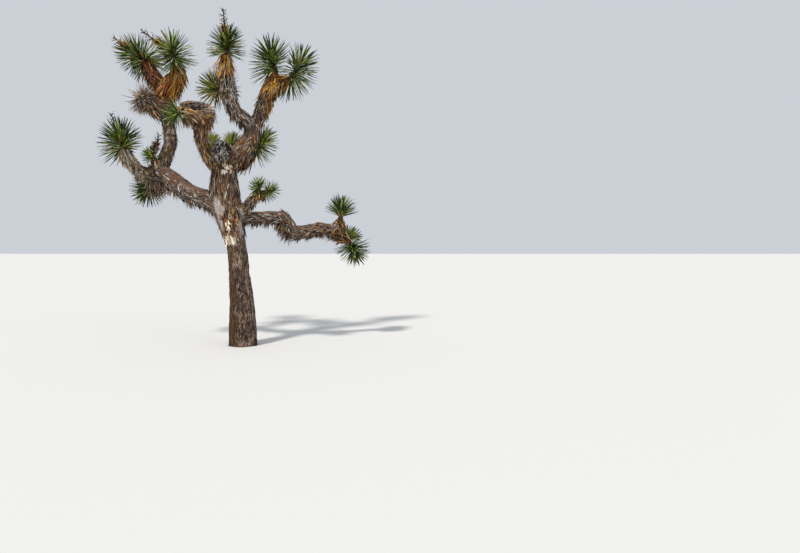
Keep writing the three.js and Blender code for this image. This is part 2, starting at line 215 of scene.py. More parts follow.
add_head(
    "top_left_outer", "left_upright_bough", 1,
    [[150, 58, 300], [145, 53, 230], [139, 52, 240], [170, 25, 100], [170, 31, 90]],
    [84, 108, 124, 118, 90], crown=230, reach=355, leaves=44, spread=132, straw="deep", light=0.52,
    pale=0.1, stalk=[188, 36, 490, 0.66], dry_by_stalk=True,
)
add_head(
    "top_left_inner", "left_upright_bough", 0.97,
    [[339, 53, 270], [326, 45, 170], [283, 53, 160], [258, 61, 170], [263, 47, 40]],
    [84, 160, 158, 126, 84], crown=150, reach=322, leaves=38, spread=130, straw="amber", low_straw="rust",
    light=0.3, pale=0.08, stalk=[190, 36, 560, 0.56], dry_by_stalk=True,
)
add_head(
    "dead", "left_upright_bough", 0.84, [[206, 25, 130], [197, 29, 90], [198, 25, 90], [194, 17, 80]],
    [92, 130, 146, 132], crown=100, heart=118, reach=200, leaves=24, spread=140, dead=True, slim=0.6,
)
add_head(
    "left_tip", "left_outer_bough", 1, [[215, 64, 90], [165, 66, 110], [140, 66, 120]], [84, 98, 84],
    crown=165, reach=335, leaves=40, spread=116, straw="fawn", light=0.3, stalk=[180, 71, 440, 0.42],
)
add_head(
    "left_spur", "left_bough", 0.97, [[263, 59, 130], [221, 65, 80], [194, 46, 60]], [88, 92, 88, 76],
    crown=90, reach=170, leaves=16, spread=92, straw="fawn", light=0.9, pale=0.25,
    stalk=[0, 73, 345, 0.56], pods=4, bracts="brown",
)
add_head(
    "left_hanging", "left_bough", 0.99, [[131, -44, 160], [136, -46, 110], [152, -44, 120]],
    [104, 136, 138, 100], crown=110, reach=290, leaves=32, spread=106, straw="fawn", light=0.5,
)
add_head(
    "crook", "crook_arm", 1, [[206, -34, 45], [188, -22, 45]], [94, 76], crown=60, reach=240, leaves=28,
    spread=100, straw="gold", light=0.5, pale=0.04, slim=0.8,
)
add_head(
    "centre", "centre_bough", 1,
    [[268, 70, 120], [277, 76, 130], [308, 80, 150], [297, 85, 120], [356, 74, 30]], [100, 98, 92, 84],
    crown=165, reach=275, leaves=42, spread=112, straw="light_gold", straw_from=0.45, lift=[14, 55],
    light=0.3, pale=0.05, stalk=[200, 86, 512, 0.5], dry_by_stalk=True,
)
add_head(
    "centre_side", "centre_bough", 0.87, [[120, 8, 180], [143, 12, 150], [137, 20, 110]],
    [84, 92, 88, 70], crown=150, reach=315, leaves=38, spread=124, light=0.4, faded=0.45, slim=0.62,
)
add_head(
    "right_top_inner", "right_top_bough", 1,
    [[84, 46, 100], [37, 72, 200], [44, 82, 160], [173, 80, 160]], [104, 124, 118, 84], crown=180,
    reach=380, leaves=42, spread=128, straw="gold", light=0.44,
)
add_head(
    "right_top_outer", "right_top_bough", 0.8,
    [[32, 55, 210], [49, 41, 240], [50, 19, 170], [45, 56, 200], [40, 59, 120]],
    [70, 84, 110, 116, 100, 78], crown=330, reach=368, leaves=46, spread=148, straw="gold", light=0.46,
)
add_head(
    "main_side", "main_bough", 0.37, [[75, -10, 180], [46, 34, 180], [26, 50, 170], [23, 53, 80]],
    [90, 122, 124, 104, 80], crown=180, reach=295, leaves=38, spread=126, light=0.9, pale=0.22,
)
# The back bough's rosettes lie in shade; their paler, yellower leaves are painted sunlight
add_head(
    "back_left", "back_bough", 1, [[141, 29, 140], [144, 21, 170], [120, 66, 50]], [76, 74, 62],
    crown=110, reach=180, leaves=26, spread=118, light=1.2, pale=0.85,
)
add_head(
    "back_right", "back_bough", 0.91, [[85, 26, 200], [90, 23, 190], [79, 58, 60]], [70, 78, 74, 60],
    crown=120, reach=215, leaves=30, spread=118, light=1.2, pale=0.85,
)
add_head(
    "small_upper", "small_bough", 1, [[299, 22, 75], [299, 60, 70]], [62, 60, 50], crown=80, reach=165,
    leaves=20, spread=92, straw="rust", light=0.36,
)
add_head(
    "small_outer", "small_bough", 0.92, [[348, 16, 140], [353, 17, 80]], [56, 60, 50], crown=90,
    reach=175, leaves=22, spread=118, straw="rust", light=0.36,
)
add_head(
    "long_upright", "long_bough_end", 0.96, [[0, 56, 120], [341, 75, 110], [326, 85, 130]],
    [110, 124, 92, 58], crown=110, reach=275, leaves=30, spread=74, straw="strap", straw_from=0.45,
    lift=[14, 60], light=0.3,
)
add_head(
    "long_back", "long_bough_end", 0.97, [[50, -16, 190], [55, -12, 120], [50, 8, 70]], [70, 74, 70, 56],
    crown=100, reach=200, leaves=24, spread=116, light=1.2, pale=0.5,
)
add_head(
    "long_hanging", "long_bough_end", 1, [[34, -32, 170], [30, -40, 120], [40, -58, 130]],
    [86, 90, 84, 64], crown=130, reach=285, leaves=34, spread=118, straw="strap", light=0.45,
)

# Where the coat is off, or its colour is another. Six numbers to a place: where it is and how far it goes,
# each along x, y and z, in millimetres. A streak keeps its coat, which is the colour of rust there.
BARE_PLACES = dict(
    grey=[
        [-305, -130, 2010, 90, 140, 85], [-275, -130, 1920, 105, 140, 90], [-305, -130, 1810, 45, 140, 90],
        [-250, -130, 1700, 35, 140, 90], [20, -70, 1870, 40, 100, 90], [0, -100, 1660, 35, 140, 160],
        [1295, 500, 1600, 70, 120, 50], [-80, -150, 1445, 45, 120, 55],
    ],
    cream=[
        [-152, -170, 2508, 70, 160, 50], [-160, -150, 1715, 34, 120, 70], [-125, -150, 1500, 85, 120, 80],
    ],
    orange=[[-85, -150, 1790, 45, 120, 100], [-100, -150, 1610, 30, 120, 60]],
    # Near-black places, painted shade: holes and gaps in the trunk's wood, on the stump and in the crook's
    # hollow
    hollow_shade=[
        [-105, -150, 1860, 30, 100, 30], [-180, -150, 1618, 42, 100, 22], [-229, -150, 1795, 30, 100, 22],
        [-115, -150, 1700, 28, 100, 40], [-200, -150, 1840, 16, 100, 50], [-145, -150, 2790, 55, 200, 110],
        [-440, -600, 3255, 90, 300, 62],
    ],
    russet=[
        [-1020, 120, 2460, 70, 110, 25], [-920, 75, 2390, 80, 110, 30], [-800, 45, 2308, 80, 110, 30],
        [-680, 20, 2248, 80, 110, 26], [-275, -40, 1520, 60, 130, 80], [-305, -40, 1660, 60, 130, 100],
        [-335, -40, 1800, 50, 130, 90],
    ],
    streak=[
        [-26, -150, 2240, 30, 150, 220], [-210, -170, 2280, 25, 150, 120], [-75, -170, 2020, 25, 140, 140],
    ],
)

# The tones of what shows in a bare place; the near-black pair is painted shade in holes and hollows
BARE_TONES = dict(
    grey=("#aaa19a", "#6b6058"), cream=("#e2d4bd", "#94826c"),
    orange=("#86542b", "#24150c"), russet=("#765648", "#3a2a22"), hollow_shade=("#20160f", "#0d0906"),
)
# How many splinters lie in each place of torn wood, their mix and the first place's seed
SPLINTERS = {"cream": ([26, 16, 30], "torn", 267), "orange": ([30, 12], "warm", 271)}

# Loose tufts below a limb: the limb, the stretch in shares, how many tufts, their length, and the mix if
# it isn't the plain one
TUFTS = [
    ["long_bough", 0.3, 1, 20, 0.1],
    ["long_bough_end", 0, 0.3, 26, 0.15],
    ["long_bough_end", 0.3, 1, 15, 0.08],
    ["left_bough", 0.1, 0.55, 16, 0.13],
    ["left_bough", 0.6, 1, 14, 0.13],
    ["left_outer_bough", 0, 1, 12, 0.12],
    ["left_tip_rosette", 0, 0.5, 16, 0.1, "fawn"],
    ["left_hanging_rosette", 0.05, 0.6, 40, 0.18, "fawn"],
    ["crook_arm", 0, 1, 24, 0.14, "warm"],
    ["crook_bough", 0, 0.7, 10, 0.1, "warm"],
    ["crook_bough", 0.7, 1, 16, 0.14, "warm"],
    ["centre_bough", 0.15, 1, 20, 0.12],
    ["main_bough", 0.2, 0.9, 18, 0.11],
    ["right_top_bough", 0, 0.5, 8, 0.11],
    ["right_top_bough", 0.5, 1, 40, 0.16, "gold"],
    ["left_upright_bough", 0, 1, 14, 0.11],
    ["small_upper_rosette", 0.1, 0.7, 5, 0.08, "rust"],
    ["small_outer_rosette", 0, 0.6, 9, 0.09, "rust"],
]

# Straw that stands well off a limb: the limb, the stretch in shares, the angles, length and mix
ROUGH = [
    ["crook_bough", 0.78, 1, (10, 62), 0.12, "warm"],
    ["crook_arm", 0, 1, (8, 58), 0.11, "warm"],
    ["crook_arm", 0.6, 1, (8, 40), 0.12, "gold"],
    ["right_top_bough", 0.55, 1, (4, 30), 0.13, "gold"],
]

# What is dead and dry, and how much of each tone a mix has, in the same order
DRY_TONES = dict(
    dry_pale="#bab2a9", dry_grey="#837a72", dry_brown="#574536", dry_dark="#261c15",
    dry_tan="#a4865f", dry_rust="#774626", straw_pale="#cfb27c", straw_gold="#bc8a30",
    straw_orange="#96571f", straw_deep="#4b2b16", torn_pale="#e9dcc8",
)
DRY_MIX = dict(
    plain=[1.8, 3.8, 4.2, 4, 2.2, 0.4],
    trunk=[1.7, 2.8, 4, 5.2, 2.8, 1.6],
    ashy=[10, 5, 2.6, 2, 1, 0.1],
    warm=[1, 1.5, 2.5, 3, 4, 3, 0.5, 1, 1.5, 1],
    grey=[2.4, 5.4, 3, 3, 0.4],
    gold=[0, 0, 0.8, 1.4, 0.8, 0.4, 2.4, 5, 2.5, 1.8],
    light_gold=[0, 0, 0.6, 0.8, 2, 0.3, 4, 4.5, 1.2, 0.6],
    amber=[0, 0, 0.4, 0.6, 1, 1.5, 1.2, 4, 5, 0.8],
    rust=[0, 0, 0.8, 0.8, 1, 2, 0.6, 1.5, 5, 3],
    deep=[0, 0, 0.4, 5, 0.2, 2, 0, 0.4, 2.2, 6],
    brown=[1.5, 2.5, 3, 2, 2.5, 2, 0.6, 0.6, 0.8, 1],
    strap=[0.2, 0, 1.4, 3.2, 3.6, 2, 1.6, 1.2, 2, 1.4],
    faded=[7, 3.4, 2, 3, 3.6, 0.4, 2.8, 0, 0, 0.2],
    fawn=[5.4, 3.2, 1.6, 0.8, 5, 0.4, 2.2],
    bract=[0, 0, 0.8, 1, 4, 0.2, 5, 4, 0.6, 0.4],
    torn=[2, 0.5, 0.3, 0.6, 0.8, 0, 0.5, 0, 0.5, 0, 6],
    stalk=[0, 1, 3, 5, 0, 0.2, 0, 0, 0, 1],
)
LEAF_TONES = dict(
    leaf_deep="#222c10", leaf_green="#4b6122", leaf_bright="#879a36", leaf_grey="#6c7a60",
    leaf_root="#a9a650", leaf_tip="#2e261b", leaf_faded="#a58c4a", leaf_pale="#b4ba8a",
    leaf_lime="#b9c155",
)
DEEP, GREEN, BRIGHT, GREY, ROOT, TIP, FADED, PALE, LIME = range(len(LEAF_TONES))


def seeded(seed):
    return np.random.default_rng(seed)


def unit(vectors):
    return vectors / np.maximum(np.linalg.norm(vectors, axis=-1, keepdims=True), 1e-12)


def added(name, data):
    """A new object in the scene."""
    made = bpy.data.objects.new(name, data)
    scene.collection.objects.link(made)
    return made


def heading(bearing, rise):
    turn, up = math.radians(bearing), math.radians(rise)
    return np.array([math.cos(turn) * math.cos(up), math.sin(turn) * math.cos(up), math.sin(up)])


class Line:
    """The smooth line through some points, a centripetal Catmull-Rom curve, measured by its length."""

    PARTS = 24  # from one point to the next

    def __init__(self, points):
        points = np.array(points)
        ends = [2 * points[0] - points[1], *points, 2 * points[-1] - points[-2]]
        dense = [points[0]]
        for a, b, c, d in zip(ends, ends[1:], ends[2:], ends[3:]):
            before, here, after = (math.sqrt(np.linalg.norm(q - p)) for p, q in ((a, b), (b, c), (c, d)))
            leaving = ((b - a) / before - (c - a) / (before + here) + (c - b) / here) * here
            arriving = ((c - b) / here - (d - b) / (here + after) + (d - c) / after) * here
            for t in np.linspace(0, 1, self.PARTS + 1)[1:]:
                square, cube = t * t, t * t * t
                dense.append(
                    b + leaving * t
                    + (3 * (c - b) - 2 * leaving - arriving) * square
                    + (2 * (b - c) + leaving + arriving) * cube
                )
        self.dense = np.array(dense)
        self.run = np.concatenate([[0], np.cumsum(np.linalg.norm(np.diff(self.dense, axis=0), axis=1))])
        self.length = self.run[-1]
        self.slopes = unit(np.gradient(self.dense, self.run, axis=0))

    def point(self, share):
        return self._read(self.dense, share)

    def axis(self, share):
        return unit(self._read(self.slopes, share))

    def _read(self, rows, share):
        place = np.asarray(share, float) * self.length
        return np.stack([np.interp(place, self.run, column) for column in rows.T], axis=-1)


def grow_lines():
    lines = {}
    for name, plan in {**LIMBS, **HEADS}.items():
        points = [lines[plan["parent"]].point(plan["at"]) if plan["parent"] else np.zeros(3)]
        for bearing, rise, length in plan["steps"]:
            points.append(points[-1] + heading(bearing, rise) * length * MM)
        lines[name] = Line(points)
    return lines


def along(values, share):
    """Values that are spread evenly from 0 to 1, read at a share, in metres."""
    return np.interp(share, np.linspace(0, 1, len(values)), values) * MM


def sideways(axis):
    """Two directions square to each axis and to each other."""
    steep = np.abs(axis[..., 2:]) >= 0.9
    reference = np.where(steep, [0.0, 1.0, 0.0], [0.0, 0.0, 1.0])
    u = unit(np.cross(axis, reference))
    return u, np.cross(axis, u)


def radial_at(axis, turn):
    u, v = sideways(axis)
    return u * np.cos(turn)[..., None] + v * np.sin(turn)[..., None]


def tilted(axis, radial, angle):
    return axis * np.cos(angle)[..., None] + radial * np.sin(angle)[..., None]


def noise(places, seed=0):
    """Smooth noise from -1 to 1, one swing to a unit."""
    base = np.floor(places).astype(np.int64)
    part = places - base
    part = part * part * (3 - 2 * part)
    total = np.zeros(len(places))
    for corner in np.ndindex(2, 2, 2):
        x, y, z = (base + corner).T
        mixed = (x * 73856093) ^ (y * 19349663) ^ (z * 83492791) ^ (seed * 6271 + 12289)
        mixed = (mixed ^ (mixed >> 13)) * 1274126177
        mixed = mixed ^ (mixed >> 16)
        value = (mixed & 0xFFFF) / 32767.5 - 1
        total += np.prod(np.where(corner, part, 1 - part), axis=1) * value
    return total


class Pile:
    """Meshes gathered into one: corners, triangles, their materials and the bark's grain, which is each
    corner's place in its limb's own space."""

    def __init__(self):
        self.points, self.faces, self.tints, self.grain, self.count = [], [], [], [], 0

    def add(self, points, faces, tints):
        self.points.append(points)
        self.faces.append(faces + self.count)
        self.tints.append(np.broadcast_to(tints, len(faces)))
        self.count += len(points)

    def build(self, name, materials, nodes, slot):
        """The one piece, which rides on the tree in place of the nodes."""
        points, faces, tints = (np.concatenate(rows) for rows in (self.points, self.faces, self.tints))
        mesh = bpy.data.meshes.new(name)
        mesh.from_pydata(points, [], faces, shade_flat=False)
        for material in materials:
            mesh.materials.append(material)
        mesh.polygons.foreach_set("material_index", tints.astype(np.int32))
        piece = added(name, mesh)
        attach(piece, "root")
        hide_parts(*nodes)
        return piece


LINES = grow_lines()
HEARTS = {}
for name, head in HEADS.items():
    HEARTS[name] = LINES[name].point(1 - 0.5 * head["crown"] * MM / LINES[name].length)


def radius_of(name, thin=1):
    """The radius as a function of the share along a limb, or along a head's stem, whose skirt narrows to
    the heart. thin makes a stem slimmer."""
    if name in LIMBS:
        return lambda share: along(LIMBS[name]["radii"], share)
    head = HEADS[name]
    below = 1 - head["crown"] * MM / LINES[name].length

    def radius(share):
        skirt = along(head["skirt"], np.asarray(share) / below)
        climb = np.clip((np.asarray(share) - below) / ((1 - below) * SHOULDER), 0, 1)
        return (skirt + (head.get("heart", HEART_RADIUS) * MM - skirt) * climb) * thin

    return radius


# Places down the middle of every limb and stem with the radius there, which leaves keep clear of
BODIES = {}
for name, line in LINES.items():
    shares = np.linspace(0, 1, max(3, round(line.length / BODY_STEP)))
    BODIES[name] = line.point(shares), radius_of(name, 0.8)(shares)


def free(name, places):
    """Which places lie in no other limb or stem, and nearer to this head's heart than to any other."""
    clear = np.ones(len(places), bool)
    for other, (middles, radii) in BODIES.items():
        if other != name:
            gaps = np.linalg.norm(places[:, None] - middles, axis=2)
            clear &= (gaps > radii * 0.9).all(axis=1)
    own = np.linalg.norm(places - HEARTS[name], axis=1) + OWN_SPACE
    for other, heart in HEARTS.items():
        if other != name:
            clear &= np.linalg.norm(places - heart, axis=1) > own
    return clear


def grid_faces(rows, columns, closed):
    """Triangles over a grid of corners, joined round if closed."""
    across = np.arange(columns if closed else columns - 1)
    row, column = np.meshgrid(np.arange(rows - 1), across, indexing="ij")
    a = row * columns + column
    b = row * columns + (column + 1) % columns
    c, d = b + columns, a + columns
    return np.stack([np.stack([a, b, c], -1), np.stack([a, c, d], -1)], 2).reshape(-1, 3)


def steady_frames(line, shares):
    """Two side directions at each share that don't twist along the line."""
    axes = line.axis(shares)
    u = sideways(axes[0])[0]
    sides = []
    for axis in axes:
        u = unit(u - axis * (u @ axis))
        sides.append(u)
    return np.array(sides), np.cross(axes, sides)


def skin(pile, name, relief, seed, apart=0, step=SKIN_STEP, thin=1, tints=0):
    """A closed tube with the bark's relief and a rounded top, over which the relief fades. apart keeps its
    pattern apart from the other limbs'."""
    line, foot = LINES[name], name == "trunk"
    rings = max(4, round(line.length / step))
    shares = np.linspace(0, 1, rings)
    radii = radius_of(name, thin)(shares)
    sides = max(8, round(math.tau * radii.mean() / step))
    u, v = steady_frames(line, shares)
    turns = np.linspace(0, math.tau, sides, endpoint=False)
    around = u[:, None] * np.cos(turns)[:, None] + v[:, None] * np.sin(turns)[:, None]
    run = shares * line.length
    if foot:
        low = np.exp(-run / FLARE_HEIGHT)[:, None]
        wide = 1 + low * (FLARE + FLARE_LOBE_DEPTH * np.sin(turns * FLARE_LOBES))
    else:
        wide = np.ones((rings, 1))
    left = (line.length - run) / np.maximum(radii * DOME, 1e-6)
    dome = np.sqrt(np.clip(1 - np.clip(1 - left, 0, 1) ** 2, 0, 1))[:, None]
    base = radii[:, None] * wide * dome
    own = (np.cos(turns) * radii[:, None], np.sin(turns) * radii[:, None], run[:, None])
    grain = np.stack(np.broadcast_arrays(*own), -1).reshape(-1, 3)
    lift = relief(grain, seed).reshape(rings, sides) * np.clip(dome * 1.4 - 0.4, 0, 1)
    points = line.point(shares)[:, None] + around * (base + lift)[..., None]
    if foot:
        points[0, :, 2] = 0
        points[:, :, 2] = np.maximum(points[:, :, 2], 0)
    corners = np.concatenate([points.reshape(-1, 3), line.point([0, 1])])
    faces = grid_faces(rings, sides, True)
    first, last = rings * sides, rings * sides + 1
    ring = np.arange(sides)
    after = (ring + 1) % sides
    bottom = np.stack([after, ring, np.full(sides, first)], -1)
    top_ring = (rings - 1) * sides
    top = np.stack([top_ring + ring, top_ring + after, np.full(sides, last)], -1)
    pile.add(corners, np.concatenate([faces, bottom, top]), tints)
    pile.grain.append(np.concatenate([grain, [[0, 0, 0], [0, 0, line.length]]]) + [0, 0, apart])


def bark_of_trunk(grain, seed):
    """Furrows and plates low on the trunk, and a fibrous coat above."""
    height = grain[:, 2]
    furrows = noise(grain / [0.035, 0.035, 0.13] + noise(grain / 0.07, 3)[:, None] * 0.5, seed)
    plates = noise(grain / 0.05, seed + 1)
    fibres = noise(grain / [0.014, 0.014, 0.09], seed + 2)
    low = 1 / (1 + np.exp((height - PLATES_TOP) / 0.12))
    furrowed = -np.abs(furrows) * 1.5 + 0.55 + plates * 0.35
    shaggy = fibres * 0.8 + furrows * 0.5
    return TRUNK_RELIEF * (low * furrowed + (1 - low) * shaggy)


def bark_of_bough(grain, seed):
    fibres = noise(grain / [0.013, 0.013, 0.07], seed)
    lumps = noise(grain / [0.05, 0.05, 0.08], seed + 1)
    return BOUGH_RELIEF * (fibres * 0.6 + lumps * 0.7)


def bark_of_stump(grain, seed):
    """Deep holes and knobs in weathered wood."""
    knobs = noise(grain / [0.06, 0.06, 0.07], seed) + 0.5 * noise(grain / 0.025, seed + 1)
    return STUMP_RELIEF * np.clip(knobs, -0.9, 0.6)


def bark_of_stem(grain, seed):
    return STEM_RELIEF * noise(grain / 0.04, seed)


def blades(
    pile, roots, directions, across, lengths, widths, bend, tint,
    profile=STRAW_PROFILE, section=STRAW_SECTION,
):
    """Leaves of one kind. profile gives shares of length and of width up to the tip, and section the
    cross-section as shares of half the width. bend lays the tip back, as a share of the length."""
    count, rows, columns = len(roots), len(profile), len(section)
    upper = np.cross(directions, across)
    (reach, wide), (side, thick) = np.array(profile, float).T, np.array(section, float).T
    body = (
        roots[:, None, None]
        + directions[:, None, None] * (lengths[:, None] * reach)[:, :, None, None]
        - upper[:, None, None] * ((bend * lengths)[:, None] * reach**2)[:, :, None, None]
        + across[:, None, None] * (widths[:, None, None] / 2 * wide[:, None] * side)[..., None]
        + upper[:, None, None] * (widths[:, None, None] / 2 * wide[:, None] * thick)[..., None]
    )
    tip = (roots + directions * lengths[:, None] - upper * (bend * lengths)[:, None])[:, None]
    corners = np.concatenate([body.reshape(count, rows * columns, 3), tip], axis=1)
    closed = columns > 3
    faces = grid_faces(rows, columns, closed)
    last = (rows - 1) * columns
    ring = np.arange(columns if closed else columns - 1)
    point = np.stack([last + ring, last + (ring + 1) % columns, np.full(len(ring), rows * columns)], -1)
    template = np.concatenate([faces, point])
    row_of = np.concatenate([np.repeat(np.arange(rows - 1), 2 * len(ring)), np.full(len(ring), rows - 1)])
    offsets = np.arange(count)[:, None, None] * corners.shape[1]
    tints = tint[:, row_of] if tint.ndim == 2 else np.repeat(tint[:, None], len(template), 1)
    pile.add(corners.reshape(-1, 3), (template + offsets).reshape(-1, 3), tints.ravel())


def bare_weight(places, kind):
    """How far the coat is off at each place, from 0 to 1, where this kind of wood shows."""
    ragged = 0.35 * noise(places / 0.035, 7) + 0.3 * noise(places / 0.012, 8)
    weight = np.zeros(len(places))
    for patch in BARE_PLACES[kind]:
        place, size = np.reshape(patch, (2, 3)) * MM
        off = np.linalg.norm((places - place) / size, axis=1)
        weight = np.maximum(weight, np.clip((1 - off + ragged) * 3, 0, 1))
    return weight


def bare(places):
    """Where the coat has come off."""
    return sum(bare_weight(places, kind) for kind in BARE_TONES) > 0.3


def torn_wood(pile, patch, count, mix, seed):
    """Pale splinters that lie on the trunk, along it and across it, where its wood is torn."""
    line, random = LINES["trunk"], seeded(seed)
    place, size = np.reshape(patch, (2, 3)) * MM
    places = place + random.uniform(-0.8, 0.8, (count, 3)) * size
    share = np.interp(places[:, 2], line.dense[:, 2], line.run) / line.length
    axis, middle = line.axis(share), line.point(share)
    radial = places - middle
    radial = unit(radial - axis * (radial * axis).sum(1, keepdims=True))
    roots = middle + radial * (radius_of("trunk")(share) + 0.008)[:, None]
    slant = random.choice([-1, 1], count) + random.normal(0, 0.1, count)
    directions = axis * slant[:, None] + np.cross(axis, radial) * random.normal(0, 0.5, count)[:, None]
    directions = unit(directions + radial * 0.12)
    blades(
        pile, roots, directions, unit(np.cross(directions, radial)), random.uniform(0.035, 0.085, count),
        random.uniform(0.012, 0.034, count), random.uniform(0, 0.3, count),
        deal(random, count, DRY_MIX[mix]), SPLINTER_PROFILE,
    )


def deal(random, count, weights):
    """A tone's number for each leaf, by the tones' weights."""
    weights = np.array(weights, float)
    return random.choice(len(weights), count, p=weights / weights.sum())


def head_leaves(pile, name, seed):
    """The solids' rule for leaves, youngest first, with more and finer ones. The dead stand all ways."""
    head, line, random = HEADS[name], LINES[name], seeded(seed)
    dead = head.get("dead", False)
    count = round(head["leaves"] * GREEN_PER_LEAF * (DEAD_MORE if dead else 1))
    number = np.arange(count)
    age = (number + 0.5) / count
    share = 1 - age * head["crown"] * MM / line.length
    axis = line.axis(share)
    radial = radial_at(axis, np.radians(number * GOLDEN_TURN + (random.random(count) - 0.5) * ANGLE_JITTER))
    cap = 1 - math.cos(math.radians(head["spread"]))
    opened = np.arccos(1 - age * cap) * (1 - TOP_ANGLE / head["spread"])
    angle = np.radians(TOP_ANGLE + (random.random(count) - 0.5) * ANGLE_JITTER) + opened
    roots = line.point(share)
    directions = tilted(axis, radial, angle)
    full = head["reach"] * MM
    if dead:
        share = 1 - random.random(count) * DEAD_CROWN * head["crown"] * MM / line.length
        radial = radial_at(axis, random.random(count) * math.tau)
        ahead = random.random(count) < DEAD_AHEAD
        full = full * np.where(ahead, DEAD_AHEAD_SHORT, 1)
        roots = line.point(share) + radial * random.uniform(0.02, 0.08, (count, 1))
        roots = roots - axis * (DEAD_AHEAD_BACK * ahead)[:, None]
        forward = random.uniform(-0.9, 0.5, count) + 1.4 * ahead
        directions = unit(radial + axis * forward[:, None] - [0, 0, DEAD_SAG])
        directions = unit(directions + random.standard_normal((count, 3)) * DEAD_UNRULY)
    across = unit(np.cross(directions, np.cross(axis, radial)))
    across = np.cross(directions, across)
    full = full * (0.86 + 0.14 * random.random(count) + OLD_LEAF_EXTRA * age)
    lengths = np.zeros(count)
    for part in CUT_BACK:
        tips, middles = (roots + directions * (full * part * far)[:, None] for far in (1, 0.6))
        lengths = np.where(free(name, tips) & free(name, middles), full * part, lengths)
    keep = lengths > 0
    widths = GREEN_WIDTH * (0.8 + 0.4 * random.random(count)) * np.clip(full / GREEN_FULL_REACH, 0.75, 1)
    if dead:
        tint = deal(random, count, DRY_MIX["faded"])
    else:
        tint = green_tones(random, age, head["light"], head.get("faded", 0.06), head.get("pale", 0))
        if head.get("dry_by_stalk"):
            by_stalk = directions @ heading(*head["stalk"][:2]) > random.uniform(0.82, 0.96, count)
            tint[by_stalk, 1:4] = random.choice([FADED, FADED, LIME], (count, 1))[by_stalk]
    bend = 0.1 * age - 0.05 + (0.3 if dead else 0.05) * random.standard_normal(count)
    blades(
        pile, roots[keep], directions[keep], across[keep], lengths[keep],
        widths[keep] * head.get("slim", 1), bend[keep], tint[keep], GREEN_PROFILE, GREEN_SECTION,
    )


def green_tones(random, age, light, faded, pale):
    """Numbers of LEAF_TONES from the root to the tip of each leaf: yellow at the root, bright in the young,
    dull in the old. light is how yellow the head is, and faded and pale the shares of such leaves. On heads
    in shade, a high light and pale are painted sunlight."""
    count = len(age)
    young = deal(random, count, [2, 4, 0.5 + 8 * light**2, 0.3, 0, 0, 0, 0.5 + 2 * light**2])
    old = deal(random, count, [4, 2.5, 0.3 + 5 * light**2, 2, 0, 0, 0, 2 + 2 * light])
    body = np.where(random.random(count) < 0.15 + 0.6 * age, old, young)
    lit = random.random(count) < (0.4 + 0.6 * light) * (1 - 0.6 * age)
    dim = random.random(count) < 0.75 - 0.6 * light
    root = np.where(random.random(count) < 0.25 + 0.8 * light, ROOT, DEEP)
    outer = np.where(dim & (body != PALE), DEEP, np.where(body == BRIGHT, GREEN, body))
    tone = np.stack([root, np.where(lit, BRIGHT, body), body, outer, np.full(count, TIP)], -1)
    # Pale leaves: old ones, and on heads in shade painted sunlight
    pale_and_painted_sun = random.random(count) < pale
    tone[pale_and_painted_sun, 1:4] = random.choice([PALE, LIME, LIME], (count, 1))[pale_and_painted_sun]
    tone[random.random(count) < faded * (0.3 + 0.7 * age), 1:4] = FADED
    return tone


def laid_back(
    pile, name, span, mix, seed, sunk,
    density=SHAG_PER_AREA, length=SHAG_LENGTH, width=SHAG_WIDTH, lift=(2, 26), sag=0.25, skip=None,
):
    """Dead leaves that lie back along a stem over a span of shares. sunk is how deep their roots are, lift
    how far their tips stand off, in degrees, and sag how much they fall away under their own weight."""
    line, random, radius_at = LINES[name], seeded(seed), radius_of(name)
    low, high = span
    area = (high - low) * line.length * math.tau * float(np.mean(radius_at(np.linspace(low, high, 20))))
    count = round(area * density)
    share = low + (high - low) * random.random(count)
    axis = line.axis(share)
    radial = radial_at(axis, random.random(count) * math.tau)
    roots = line.point(share) + radial * (radius_at(share) - random.uniform(*sunk, count))[:, None]
    under = np.clip(0.6 - 0.6 * radial[:, 2], 0.12, 1)
    stand = lift[0] + (lift[1] - lift[0]) * random.random(count) ** 1.7 * under
    directions = tilted(axis, radial, np.radians(180 - stand))
    directions = directions - np.array([0, 0, 1]) * (sag * random.random(count))[:, None]
    directions = unit(directions + np.cross(axis, radial) * random.normal(0, 0.28, count)[:, None])
    across = unit(np.cross(directions, radial) + axis * 0.1)
    lengths = length * random.uniform(0.5, 1.35, count)
    widths = width * random.uniform(0.55, 1.35, count)
    tips = roots + directions * lengths[:, None]
    keep = tips[:, 2] > 0.01
    for places in (roots, tips, (roots + tips) / 2):
        if skip:
            keep &= ~skip(places)
    blades(
        pile, roots[keep], directions[keep], across[keep], lengths[keep], widths[keep],
        random.uniform(-0.15, 0.22, count)[keep], deal(random, count, DRY_MIX[mix])[keep],
    )


def hanging_tufts(pile, name, span, tufts, length, seed, mix="plain"):
    """Loose tufts of dead leaves that hang from the underside of a limb."""
    line, random, each = LINES[name], seeded(seed), TUFT_LEAVES
    share = np.repeat(random.uniform(*span, tufts), each) + random.normal(0, 0.012, tufts * each)
    count = len(share)
    axis = line.axis(share)
    turn = np.repeat(random.random(tufts) * math.tau, each) + random.normal(0, 0.3, count)
    radial = radial_at(axis, turn)
    radial = unit((radial * np.where(radial[:, 2:] > 0, -1, 1)) - [0, 0, 0.5])
    roots = line.point(share) + radial * (radius_of(name)(share) * 0.86)[:, None]
    directions = unit(radial * 0.35 - axis * 0.45 - [0, 0, 1] + random.standard_normal((count, 3)) * 0.22)
    across = unit(np.cross(directions, random.standard_normal((count, 3))))
    blades(
        pile, roots, directions, across, length * random.uniform(0.45, 1.25, count),
        SHAG_WIDTH * random.uniform(0.5, 1.1, count), random.uniform(-0.2, 0.25, count),
        deal(random, count, DRY_MIX[mix]),
    )


